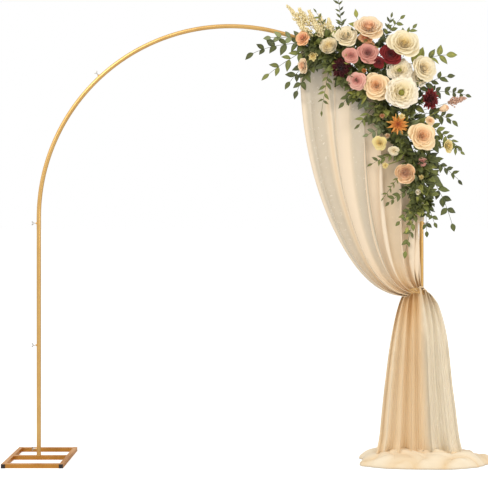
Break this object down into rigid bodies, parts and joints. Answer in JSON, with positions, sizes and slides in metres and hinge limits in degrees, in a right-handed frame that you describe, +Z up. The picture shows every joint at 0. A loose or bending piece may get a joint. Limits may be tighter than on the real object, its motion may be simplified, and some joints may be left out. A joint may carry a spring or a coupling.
{
  "type": "wedding arch",
  "caption": "Free-standing round-topped wedding arch of gold tube on square bases, with a gathered sheer drape and a silk flower swag at the right shoulder.",
  "frame": {"origin": "on the floor under the left post's axis, at the underside of the left base's middle bar", "axes": "+X from the left post to the right post, +Y from the front to the back, +Z up"},
  "size_m": [2.4726, 0.3346, 2.3601],
  "materials": {
    "gold_tube": "satin gold powder coat",
    "gold_bar": "satin gold powder coat",
    "cap_plastic": "moulded black plastic",
    "screw_steel": "zinc-plated",
    "sheer_cloth": "sheer champagne voile",
    "moss_foam": "foam roll wrapped in moss-green tape",
    "hook_wire": "green-coated wire",
    "silk_ivory": "silk petals",
    "silk_blush": "silk petals",
    "silk_peach": "silk petals",
    "silk_dusty_pink": "silk petals",
    "silk_burgundy": "silk petals",
    "silk_orange": "silk petals",
    "silk_butter": "silk petals",
    "silk_leaf": "silk leaves on coated wire"
  },
  "bodies": {
    "root": {"left_base_side_bars": "gold_bar", "left_base_cross_bars": "gold_bar", "left_base_socket": "gold_tube", "left_base_end_caps": "cap_plastic", "right_base_side_bars": "gold_bar", "right_base_cross_bars": "gold_bar", "right_base_socket": "gold_tube", "right_base_end_caps": "cap_plastic", "left_lower_leg": "gold_tube", "left_upper_leg": "gold_tube", "left_haunch": "gold_tube", "left_top_arc": "gold_tube", "right_lower_leg": "gold_tube", "right_upper_leg": "gold_tube", "right_haunch": "gold_tube", "right_top_arc": "gold_tube", "foot_wing_screws": "screw_steel", "knee_wing_screws": "screw_steel", "springing_wing_screws": "screw_steel", "shoulder_wing_screws": "screw_steel", "drape_upper": "sheer_cloth", "drape_tie": "sheer_cloth", "drape_tail": "sheer_cloth", "drape_pool": "sheer_cloth", "swag_core": "moss_foam", "swag_hooks": "hook_wire", "ivory_roses": "silk_ivory", "cream_peonies": "silk_ivory", "blush_roses": "silk_blush", "peach_roses": "silk_peach", "dusty_pink_roses": "silk_dusty_pink", "burgundy_roses": "silk_burgundy", "burgundy_dahlias": "silk_burgundy", "orange_dahlia": "silk_orange", "yellow_blooms": "silk_butter", "flower_buds": "silk_peach", "astilbe_plumes": "silk_ivory", "left_leaf_sprays": "silk_leaf", "top_leaf_sprays": "silk_leaf", "right_leaf_sprays": "silk_leaf", "hanging_vine": "silk_leaf", "trailing_leaves": "silk_leaf", "inner_leaf_sprays": "silk_leaf"}
  },
  "joints": []
}
